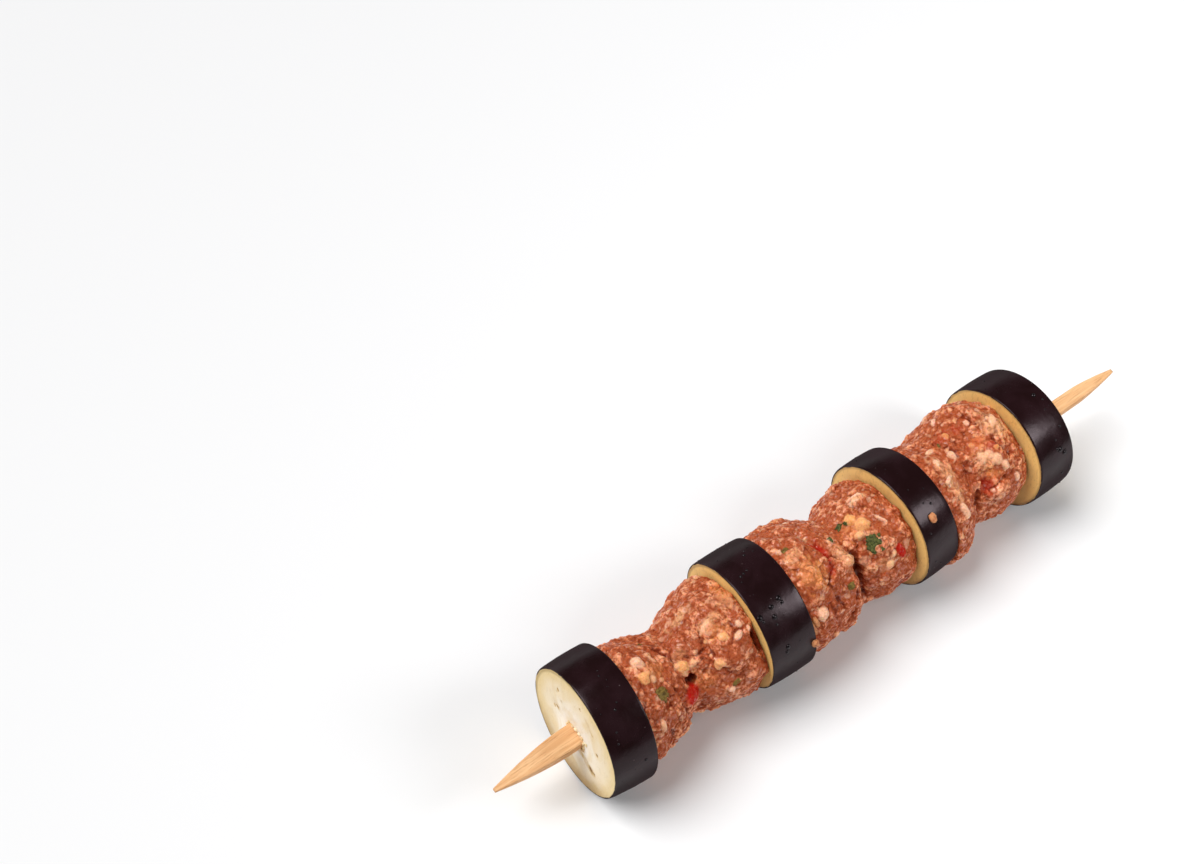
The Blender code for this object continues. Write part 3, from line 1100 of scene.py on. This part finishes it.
# Each row: x, angle, length, width, height, turn, yolk, whether it is pepper, paleness.
CHUNKS = [
    Chunk(*row)
    for row in (
        (-74.8, 0, 3.0, 4.4, 0.6, -20), (-76.0, 15, 3.0, 3.6, 0.7, 0, 0.75),
        (-73.6, 20, 1.8, 2.4, 0.5, 0, 0.3), (-77.7, 61, 1.9, 4.4, 0.8, 8, 0.1),
        (-62.9, 26, 3.4, 3.6, 1.0, 15, 0.8), (-64.2, 22, 2.0, 2.0, 0.7, 0, 0.5),
        (-59.6, 30, 1.8, 2.2, 0.6, 0, 0.4), (-54.0, 44, 2.6, 3.4, 0.8, 0, 0.65),
        (-45.3, 30, 3.4, 1.9, 0.7, -30), (-43.4, 22, 1.8, 2.4, 0.5, 0), (-41.4, 30, 1.4, 2.0, 0.5, 0),
        (-49.2, 24, 3.0, 2.4, 0.7, 20, 0.7), (-51.6, 6, 4.6, 1.6, 0.5, -20, 0.2),
        (-52.9, 76, 2.4, 1.8, 0.6, 20), (-63.8, 65, 5.4, 5.2, 1.3, 14, 0.0, True),
        (8.6, 9, 4.2, 4.0, 1.0, 0, 0.75), (7.0, -3, 3.0, 3.6, 0.7, 0, 0.85),
        (6.0, 17, 3.0, 2.6, 0.8, 0, 0.55), (14.3, 14, 1.0, 4.6, 0.5, -28),
        (-2.8, 31, 3.2, 3.2, 1.0, 0, 0.45, False, 0.5), (-0.6, 36, 1.8, 2.6, 0.7, 0, 0.4, False, 0.55),
        (-3.6, 22, 2.0, 2.6, 0.6, 0, 0.4, False, 0.6), (-18.5, 57, 4.2, 4.2, 1.5, 0),
        (-19.6, -9, 1.5, 1.8, 0.5, 0), (12.6, -17, 5.4, 1.0, 0.4, 24), (11.4, -14, 4.4, 0.8, 0.4, 30),
        (9.6, 58, 2.6, 2.6, 0.6, 0, 0.4), (12.2, 50, 1.8, 2.4, 0.5, 0, 0.2),
        (14.7, 52, 5.2, 3.0, 0.6, 75, 0.0, True), (-8.8, 0, 4.2, 1.5, 0.2, 65, 0.0, True),
        (58.0, 29, 3.0, 3.8, 1.0, -20, 0.15), (60.2, 39, 2.4, 3.8, 0.9, -14, 0.1),
        (56.9, 22, 2.6, 2.6, 0.8, 0, 0.1), (54.6, 21, 2.4, 3.2, 0.7, 0, 0.2),
        (60.2, 20, 1.8, 1.5, 0.6, 0, 0.9), (50.7, -18, 1.8, 2.4, 0.6, 0, 0.9),
        (54.2, 6, 1.6, 2.0, 0.5, 0, 0.8), (39.5, 53, 2.6, 5.6, 0.9, -14), (53.3, -41, 3.2, 1.5, 0.6, -30),
        (59.0, -16, 1.6, 2.0, 0.5, 0), (47.4, 2, 2.6, 3.2, 0.7, -20), (42.5, -14, 2.8, 1.8, 0.6, 0),
        (40.3, 2, 1.8, 2.4, 0.5, 0), (39.5, 21, 2.6, 1.4, 0.5, -40), (63.7, 59, 1.8, 3.4, 0.6, 0),
        (64.8, -2, 4.4, 2.0, 0.5, -40, 0.2),
    )
]


@dataclass
class MinceLump:
    """One lump of mince: the solid, remeshed finely, with granules and crevices raised on it."""

    number: int
    before: AubergineSlice
    after: AubergineSlice
    voxel: float = 0.335 * MM
    lumps: float = 6.0
    coarse: float = 3.4
    middle: float = 1.7
    fine: float = 0.95
    gap: float = 0.12 * MM
    clearance: float = 0.1 * MM
    smoothings: int = 3
    margin: float = 3.0
    tone: float = 0.42

    def __post_init__(self) -> None:
        """Picks the forms and colours that are on this lump."""
        near, far = self.before.back - self.margin, self.after.front + self.margin
        self.patches = [one for one in PATCHES if near < one.x < far]
        self.swells = [one for one in SWELLS if near < one.x < far]
        self.creases = [one for one in CREASES if near < one.x < far]
        self.chunks = [one for one in CHUNKS if near < one.x < far]

    def solid(self) -> bmesh.types.BMesh:
        """The lump's solid.

        Returns:
            A merged copy of it.
        """
        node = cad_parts[f"lamb_mince_{self.number}"]
        mesh = bmesh.new()
        mesh.from_mesh(node.data)
        mesh.transform(node.matrix_world)
        bmesh.ops.remove_doubles(mesh, verts=mesh.verts, dist=MERGE_DISTANCE)
        return mesh

    def remeshed(self) -> bmesh.types.BMesh:
        """The solid as an even fine mesh.

        Returns:
            The mesh.
        """
        data = bpy.data.meshes.new("mince_solid")
        solid = self.solid()
        solid.to_mesh(data)
        solid.free()
        rough = linked("mince_solid", data)
        remesh = rough.modifiers.new("even", "REMESH")
        remesh.mode = "VOXEL"
        remesh.voxel_size = self.voxel
        graph = bpy.context.evaluated_depsgraph_get()
        even = bpy.data.meshes.new_from_object(rough.evaluated_get(graph))
        mesh = bmesh.new()
        mesh.from_mesh(even)
        bpy.data.objects.remove(rough, do_unlink=True)
        bpy.data.meshes.remove(even)
        axes = {"use_axis_x": True, "use_axis_y": True, "use_axis_z": True}
        for _ in range(self.smoothings):
            bmesh.ops.smooth_vert(mesh, verts=mesh.verts, factor=0.5, **axes)
        return mesh

    @staticmethod
    def bead(place: Vector, size: float) -> tuple[float, float, float]:
        """The granule at a place.

        Args:
            place: The place, in millimetres.
            size: The granules' size, in millimetres.

        Returns:
            How near the granule's middle the place is, from 0 to 1, and two random numbers of the granule.
        """
        distances, centres = noise.voronoi(place / size)
        near = max(1 - (distances[0] / 0.85) ** 2, 0.0) * eased(distances[1] - distances[0], -0.1, 0.3)
        first = noise.cell(centres[0] * 17.3)
        second = noise.cell(centres[0] * 41.9 + Vector((5.0, 9.0, 2.0)))
        return near, first, second

    def formed(self, place: Vector) -> tuple[float, dict[str, float]]:
        """The relief at a place.

        Args:
            place: A place on the smooth lump, in millimetres.

        Returns:
            Its height in millimetres, and what the material reads there.
        """
        warped = place + noise.noise_vector(place / 3.1) * 1.0 + noise.noise_vector(place / 1.3) * 0.3
        lump, lump_one, _ = self.bead(warped + Vector((0, 0, 31)), self.lumps)
        big, big_one, big_two = self.bead(warped, self.coarse)
        mid, mid_one, mid_two = self.bead(warped + Vector((11, 0, 0)), self.middle)
        small, small_one, small_two = self.bead(warped + Vector((0, 23, 0)), self.fine)
        rich = 0.16 * noise.noise(place / 5.0 + Vector((7, 7, 2)))
        spot = Spot.at(place)
        inside, raised, chunk = spot.chunked(self.chunks)
        crease = spot.creased(self.creases)
        swell = spot.swollen(self.swells)
        coarse = 0.55 * lump * (0.5 + 0.5 * lump_one) + 0.7 * big * (0.3 + 0.7 * big_one)
        grainy = 0.42 * mid * (0.3 + 0.7 * mid_one) + 0.18 * small * (0.4 + 0.6 * small_one)
        height = coarse * (1 - 0.5 * inside) + grainy * (1 - 0.7 * inside) + 0.3 * inside
        height += 0.4 * noise.noise(place / 5.0) + swell + raised - crease
        # The crest number drops in creases and hollows and rises a little on swells; the material paints
        # shade where it is low.
        deep = 0.28 * lump + 0.32 * big + 0.26 * mid + 0.14 * small
        deep -= 0.28 * crease + 0.3 * max(-swell, 0.0) - 0.06 * max(swell, 0.0)
        crest = max(deep, 0.3 * inside)
        fat_small = eased(small, 0.0, 0.7) * eased(small_two + rich, 0.86, 0.95) * 0.5
        fat_mid = eased(mid, 0.0, 0.6) * eased(mid_two + rich, 0.86, 0.95) * 0.6
        fat_big = eased(big, 0.1, 0.5) * eased(big_two + rich, 0.93, 0.98) * 0.5
        pepper = spot.patched(self.patches, Blush.PEPPER)
        fat = max(fat_small, fat_mid, fat_big) * (1 - 0.6 * pepper)
        if chunk and chunk.pepper:
            pepper = max(pepper, inside)
        elif chunk:
            fat = max(fat, inside * chunk.pale)
        shares = 0.42 * (mid_one - 0.5) * eased(mid, 0.0, 0.5) + 0.34 * (big_one - 0.5) * eased(big, 0.0, 0.4)
        shares += 0.16 * (small_one - 0.5) * eased(small, 0.0, 0.5)
        values = {
            "crest": crest,
            "fat": fat,
            "yolk": chunk.yolk if chunk else 0.5 * mid_one,
            # Part of the tint is painted light and shade: lighter where the granules stand high, darker where
            # they lie low.
            "tint": self.tone + shares + 0.5 * (deep - 0.4) + rich,
            "orange": spot.patched(self.patches, Blush.ORANGE),
            "cream": spot.patched(self.patches, Blush.CREAM),
            "pepper": pepper,
        }
        return height, values

    def raise_granules(self, mesh: bmesh.types.BMesh) -> None:
        """Raises the relief, and stores what the material reads.

        Args:
            mesh: The lump's even mesh.
        """
        names = ("crest", "fat", "yolk", "tint", "orange", "cream", "pepper")
        layers = {name: mesh.verts.layers.float.new(name) for name in names}
        mesh.normal_update()
        heights = []
        for vert in mesh.verts:
            height, values = self.formed(vert.co / MM)
            heights.append(height)
            for name, value in values.items():
                vert[layers[name]] = value
        level = sum(heights) / len(heights)
        pairs = zip(mesh.verts, heights)
        moves = [v.normal * (h - level) * (1 - abs(v.normal.x) ** 4) * MM for v, h in pairs]
        for vert, move in zip(mesh.verts, moves):
            vert.co += move
            self.keep_between(vert)

    def keep_between(self, vert: bmesh.types.BMVert) -> None:
        """Keeps a point off the slices on either side and off the floor.

        Args:
            vert: The point.
        """
        y, z = vert.co.y - AXIS.y, vert.co.z - AXIS.z
        front = self.before.leaning(self.before.back * MM, y, z) + self.gap
        back = self.after.leaning(self.after.front * MM, y, z) - self.gap
        vert.co.x = min(max(vert.co.x, front), back)
        vert.co.z = max(vert.co.z, self.clearance)

    def build(self, finish: bpy.types.Material) -> BVHTree:
        """Builds the lump.

        Args:
            finish: Its material.

        Returns:
            Its surface, for what is pressed into it.
        """
        mesh = self.remeshed()
        self.raise_granules(mesh)
        surface = BVHTree.FromBMesh(mesh)
        made = piece(mesh, f"mince_{self.number}", finish)
        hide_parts(f"lamb_mince_{self.number}")
        return surface


class Kind(Enum):
    """What a morsel on the food is."""

    HERB = MorselFinish("green_herb", screen(52, 58, 26), screen(96, 98, 50), 0.5, 0.8 * MM, 0.05)
    OLIVE_HERB = MorselFinish("olive_herb", screen(132, 108, 52), screen(96, 74, 30), 0.5, 0.9 * MM, 0.05)
    CRUMB = MorselFinish("tan_crumb", screen(214, 148, 100), screen(176, 108, 72), 0.5, 0.9 * MM)


@dataclass(frozen=True)
class Morsel:
    """A small piece pressed into the food, in mm and degrees.

    It has its place, length, width, height and spin, and the share of its height that stands out.
    """

    kind: Kind
    x: float
    angle: float
    length: float
    width: float
    height: float = 1.6
    spin: float = 0.0
    proud: float = 0.22


# Each row: x, angle, length, width, height, spin, share that stands out.
MORSELS = [
    Morsel(kind, *row)
    for kind, rows in {
        Kind.OLIVE_HERB: [
            (-73.7, 37, 3.8, 4.0, 1.0, 30, 0.3), (-50.9, 72, 3.0, 1.8, 0.9, 10, 0.1),
            (-69.0, -25, 1.6, 1.4, 0.8, 0, 0.2), (-17.9, -7, 3.0, 1.8, 0.9, 10, 0.3),
            (-5.4, 53, 2.8, 2.2, 0.9, 0, 0.3), (46.6, -14, 0.9, 2.0, 0.7, -30, 0.3),
        ],
        Kind.HERB: [
            (7.9, 32, 5.2, 6.0, 1.0, 20, 0.55), (4.2, -8, 3.6, 2.0, 0.8, 20, 0.4),
            (5.4, -4, 1.6, 1.4, 0.7, 0, 0.4), (-2.9, 4, 1.4, 1.8, 0.7, 0, 0.4),
        ],
        Kind.CRUMB: [
            (27.0, 39, 2.2, 3.0, 1.5, 0, 0.8), (-24.4, 75, 2.2, 2.2, 2.0, 0, 0.7),
            (-22.6, 66, 1.6, 5.0, 2.6, 8, 0.6), (-21.6, 60, 1.6, 4.0, 2.4, 8, 0.5),
        ],
    }.items()
    for row in rows
]


@dataclass
class Morsels:
    """Herbs and crumbs on the food, one piece for each kind."""

    surfaces: list[BVHTree]
    ray_start: float = 60 * MM
    fineness: int = 4
    squareness: float = 2.6

    def spot(self, x: float, angle: float) -> tuple[Vector, Vector] | None:
        """Finds the food's surface.

        Args:
            x: The place along the stick, in millimetres.
            angle: The place round it, in degrees.

        Returns:
            The surface there and the way out of it, or None past the food.
        """
        way = outward(math.radians(angle))
        start = Vector((x * MM, AXIS.y, AXIS.z)) + way * self.ray_start
        hits = [surface.ray_cast(start, -way) for surface in self.surfaces]
        hits = [hit for hit in hits if hit[0] is not None]
        if not hits:
            return None
        found = min(hits, key=lambda hit: hit[3])
        return found[0], (way * 2 + found[1]).normalized()

    def add(self, mesh: bmesh.types.BMesh, morsel: Morsel, at: Vector, way: Vector) -> None:
        """Adds one morsel to a mesh.

        Args:
            mesh: The mesh.
            morsel: What is added.
            at: The food's surface where it lies.
            way: The way out of the food.
        """
        made = bmesh.ops.create_icosphere(mesh, subdivisions=self.fineness, radius=1.0)
        flat = morsel.kind in (Kind.HERB, Kind.OLIVE_HERB)
        spin = Matrix.Rotation(math.radians(morsel.spin), 3, way)
        along = spin @ (Vector((1, 0, 0)) - way * way.x).normalized()
        axes = Matrix((along, way.cross(along), way)).transposed()
        sizes = Vector((morsel.length, morsel.width, morsel.height)) * 0.5 * MM
        centre = at + way * (morsel.proud - 0.5) * morsel.height * MM
        seed = Vector((morsel.x, morsel.angle, morsel.length))
        for vert in made["verts"]:
            point = vert.co.normalized()
            total = sum(abs(c) ** self.squareness for c in point)
            point = point * total ** (-1 / self.squareness)
            point *= 1 + 0.20 * noise.noise(point * 1.2 + seed) + 0.14 * noise.noise(point * 3.0 + seed)
            local = Vector(a * b for a, b in zip(point, sizes))
            if flat:
                ragged = 1 + 0.36 * noise.noise(Vector((point.x, point.y, 0)) * 3.2 + seed)
                crumple = 0.5 * noise.noise(Vector((point.x, point.y, 0)) * 1.8 + seed * 2)
                local = Vector((local.x * ragged, local.y * ragged, local.z + crumple * MM))
            vert.co = centre + axes @ local

    def build(self) -> None:
        """Builds every kind of morsel."""
        for kind in Kind:
            mesh = bmesh.new()
            for morsel in MORSELS:
                found = self.spot(morsel.x, morsel.angle)
                if morsel.kind is kind and found:
                    self.add(mesh, morsel, *found)
            piece(mesh, kind.value.name, kind.value.material())


@dataclass
class TornFlesh:
    """Crumbs of flesh that the stick pushed out of the first slice's front face, round the stick."""

    cut: AubergineSlice
    crumbs: tuple[tuple[float, float, float, float], ...] = (
        (-3.0, 2.5, 1.5, 1.0), (-1.6, 2.9, 1.2, 0.8), (0.2, 2.9, 1.6, 0.9), (1.9, 2.7, 1.3, 0.8),
        (3.4, 2.2, 1.2, 1.3), (-4.1, 1.2, 1.1, 1.8), (-4.2, -0.9, 1.2, 2.2), (-4.0, -2.6, 1.5, 1.3),
        (-2.4, -3.1, 1.8, 1.0), (-5.3, 2.0, 1.0, 1.2), (4.2, 0.2, 1.0, 1.8),
    )
    height: float = 0.9

    def build(self) -> None:
        """Builds the crumbs, each given as its y and z from the stick's middle, its width and its height."""
        mesh = bmesh.new()
        for y, z, width, tall in self.crumbs:
            x = self.cut.leaning(self.cut.front * MM, y * MM, z * MM)
            made = bmesh.ops.create_icosphere(mesh, subdivisions=4, radius=1.0)
            for vert in made["verts"]:
                point = vert.co.normalized()
                seed = Vector((y, z, width))
                point *= 1 + 0.35 * noise.noise(point * 1.5 + seed) + 0.15 * noise.noise(point * 4.0 + seed)
                local = Vector((point.x * self.height, point.y * width, point.z * tall)) * 0.5 * MM
                vert.co = AXIS + Vector((x, y * MM, z * MM)) + local
        finish = MorselFinish("torn_flesh", screen(244, 224, 188), screen(214, 176, 120), 0.6, 1.0 * MM)
        piece(mesh, "torn_flesh", finish.material())


@dataclass(frozen=True)
class Bead:
    """A drop of juice on the skin: its place and width, in millimetres and degrees."""

    x: float
    angle: float
    width: float


# Each row: x, angle, width.
BEADS = [
    Bead(*row)
    for row in (
        (-90.1, 24, 0.9), (-93.2, 48, 0.8), (-86.6, 73, 1.1), (-37.3, 31, 1.9), (-36.8, 35, 1.0),
        (-32.6, 28, 1.7), (-29.2, 25, 1.6), (-28.9, 29, 1.2), (-33.1, 36, 1.6), (-33.5, 42, 0.9),
        (-34.5, -5, 1.0), (-33.2, -6, 0.9), (-31.8, -7, 0.8), (-28.7, -21, 1.0), (-32.6, 64, 1.7),
        (-33.2, 68, 1.3), (28.6, 31, 0.9), (24.0, 52, 0.8), (79.3, 58, 2.0), (78.2, 56, 1.2),
        (80.8, 63, 1.7), (78.6, 48, 0.8), (82.2, 40, 1.0), (79.8, 84, 1.1), (80.9, 6, 1.5), (82.4, 13, 0.9),
    )
]


@dataclass
class SkinBeads:
    """Drops on the skin: the named ones, and a scatter of finer ones."""

    slices: list[AubergineSlice]
    scattered: int = 16
    seed: int = 7

    def places(self) -> Iterator[Bead]:
        """The named drops, then the scattered ones.

        Returns:
            Each drop in turn.
        """
        yield from BEADS
        draw = random.Random(self.seed)
        for cut in self.slices:
            for _ in range(self.scattered):
                x = draw.uniform(cut.front + 1.5, cut.back - 1.5)
                yield Bead(x, draw.uniform(-80, 110), draw.uniform(0.25, 0.7))

    def build(self) -> None:
        """Builds the drops as one piece."""
        mesh = bmesh.new()
        for bead in self.places():
            cut = min(self.slices, key=lambda one: abs((one.front + one.back) / 2 - bead.x))
            share = (bead.x - cut.front) / (cut.back - cut.front)
            angle = math.radians(bead.angle)
            wall = AXIS + cut.place(bead.x * MM, angle, cut.radius_at(share) * MM)
            way = outward(angle)
            side = way.cross(Vector((1, 0, 0)))
            axes = Matrix((Vector((1, 0, 0)), side, way)).transposed()
            made = bmesh.ops.create_icosphere(mesh, subdivisions=2, radius=1.0)
            size = bead.width / 2 * MM
            for vert in made["verts"]:
                wobble = 1 + 0.25 * noise.noise(vert.co * 1.5 + Vector((bead.x, bead.angle, 0)))
                local = Vector((vert.co.x * size, vert.co.y * size, vert.co.z * size * 0.6)) * wobble
                vert.co = wall + axes @ local
        # The drops are real, but their colours are darker than the skin's: painted dark reflection, for drops
        # that look black from what they mirror.
        finish = SkinFinish("skin_drops", screen(8, 5, 6), screen(12, 8, 9), 0.04, 0.35)
        piece(mesh, "skin_drops", finish.material())


@dataclass
class Studio:
    """The pale floor, the soft lights and the camera."""

    lens: float = 54.09
    sensor: float = 36.0
    floor_half: float = 3.0
    camera_at: Vector = field(default_factory=lambda: Vector((-0.23620, -0.19304, 0.47784)))
    azimuth: float = math.radians(-37.089)
    elevation: float = math.radians(52.840)
    ambient: float = 0.11

    def floor(self) -> None:
        """A wide pale floor."""
        mesh = bmesh.new()
        bmesh.ops.create_grid(mesh, x_segments=2, y_segments=2, size=self.floor_half)
        data = bpy.data.meshes.new("floor")
        mesh.to_mesh(data)
        mesh.free()
        shader = Shader("pale_floor")
        data.materials.append(shader.dress(Base_Color=(0.87, 0.87, 0.875, 1.0), Roughness=0.7))
        made = linked("floor", data)

    def sun(self, name: str, way: Vector, angle: float, strength: float) -> None:
        """Adds a soft light from far away.

        Args:
            name: Its name.
            way: Which way it lies.
            angle: How wide it looks, in degrees.
            strength: Its strength.
        """
        data = bpy.data.lights.new(name, "SUN")
        data.angle = math.radians(angle)
        data.energy = strength
        made = linked(name, data)
        made.rotation_euler = way.to_track_quat("Z", "Y").to_euler()

    def panel(self, name: str, at: Vector, target: Vector, size: float, power: float) -> None:
        """Adds a soft square light near the kebab.

        Args:
            name: Its name.
            at: Its place.
            target: What it faces.
            size: Its side, in metres.
            power: Its power, in watts.
        """
        data = bpy.data.lights.new(name, "AREA")
        data.size = size
        data.energy = power
        made = linked(name, data)
        made.location = at
        made.rotation_euler = (at - target).to_track_quat("Z", "Y").to_euler()

    def camera(self) -> None:
        """The camera that took the view."""
        data = bpy.data.cameras.new("view")
        data.sensor_fit = "HORIZONTAL"
        data.sensor_width = self.sensor
        data.lens = self.lens
        data.clip_start = 0.01
        made = linked("view", data)
        a, e = self.azimuth, self.elevation
        back = Vector((math.sin(a) * math.cos(e), -math.cos(a) * math.cos(e), math.sin(e)))
        right = Vector((math.cos(a), math.sin(a), 0.0))
        turn = Matrix((right, back.cross(right), back)).transposed().to_4x4()
        made.matrix_world = Matrix.Translation(self.camera_at) @ turn
        bpy.context.scene.camera = made

    def build(self) -> None:
        """Sets up the studio."""
        self.camera()
        self.floor()
        world = bpy.data.worlds.new("studio")
        world.use_nodes = True
        world.node_tree.nodes["Background"].inputs["Color"].default_value = (1.0, 1.0, 1.0, 1.0)
        world.node_tree.nodes["Background"].inputs["Strength"].default_value = self.ambient
        bpy.context.scene.world = world
        self.sun("key", Vector((-0.42, 0.32, 0.85)), 45, 3.3)
        self.panel("fill", Vector((0.26, -0.34, 0.38)), Vector((0.04, 0.0, 0.02)), 0.22, 1.3)
        bpy.context.scene.view_settings.view_transform = "Standard"


def main() -> None:
    """Builds the kebab and its studio."""
    logging.basicConfig(level=logging.INFO, format="%(message)s")
    noise.seed_set(NOISE_SEED)
    Studio().build()
    WoodenSkewer().build()
    # Each slice: number, front, back, radius at both, y, z, drift from front to back, lean along y and z.
    slices = [
        AubergineSlice(
            1, -96.5, -82.5, 20.8, 21.4, 0.1, 0.0, -1.1, -0.055, -0.075,
            seeds=FRONT_SEEDS,
            smears=FRONT_SMEARS,
            open_front=True,
        ),
        AubergineSlice(2, -38.5, -22.6, 21.3, 21.4, 0.8, 0.3, -0.7, -0.040, 0.005),
        AubergineSlice(3, 21.4, 34.0, 21.5, 21.2, 0.9, 0.3, 0.1, 0.025, -0.005),
        AubergineSlice(
            4, 70.6, 84.8, 21.2, 21.0, 1.4, 0.4, 0.0, 0.010, -0.025,
            seeds=BACK_SEEDS,
            smears=BACK_SMEARS,
            open_back=True,
        ),
    ]
    tones = (0.42, 0.33, 0.40)
    lumps = [MinceLump(i + 1, slices[i], slices[i + 1], tone=tone) for i, tone in enumerate(tones)]
    skin, mince = SkinFinish().material(), MinceFinish().material()
    surfaces = [cut.build(skin) for cut in slices] + [lump.build(mince) for lump in lumps]
    Morsels(surfaces).build()
    TornFlesh(slices[0]).build()
    SkinBeads(slices).build()


if __name__ == "__main__":
    main()
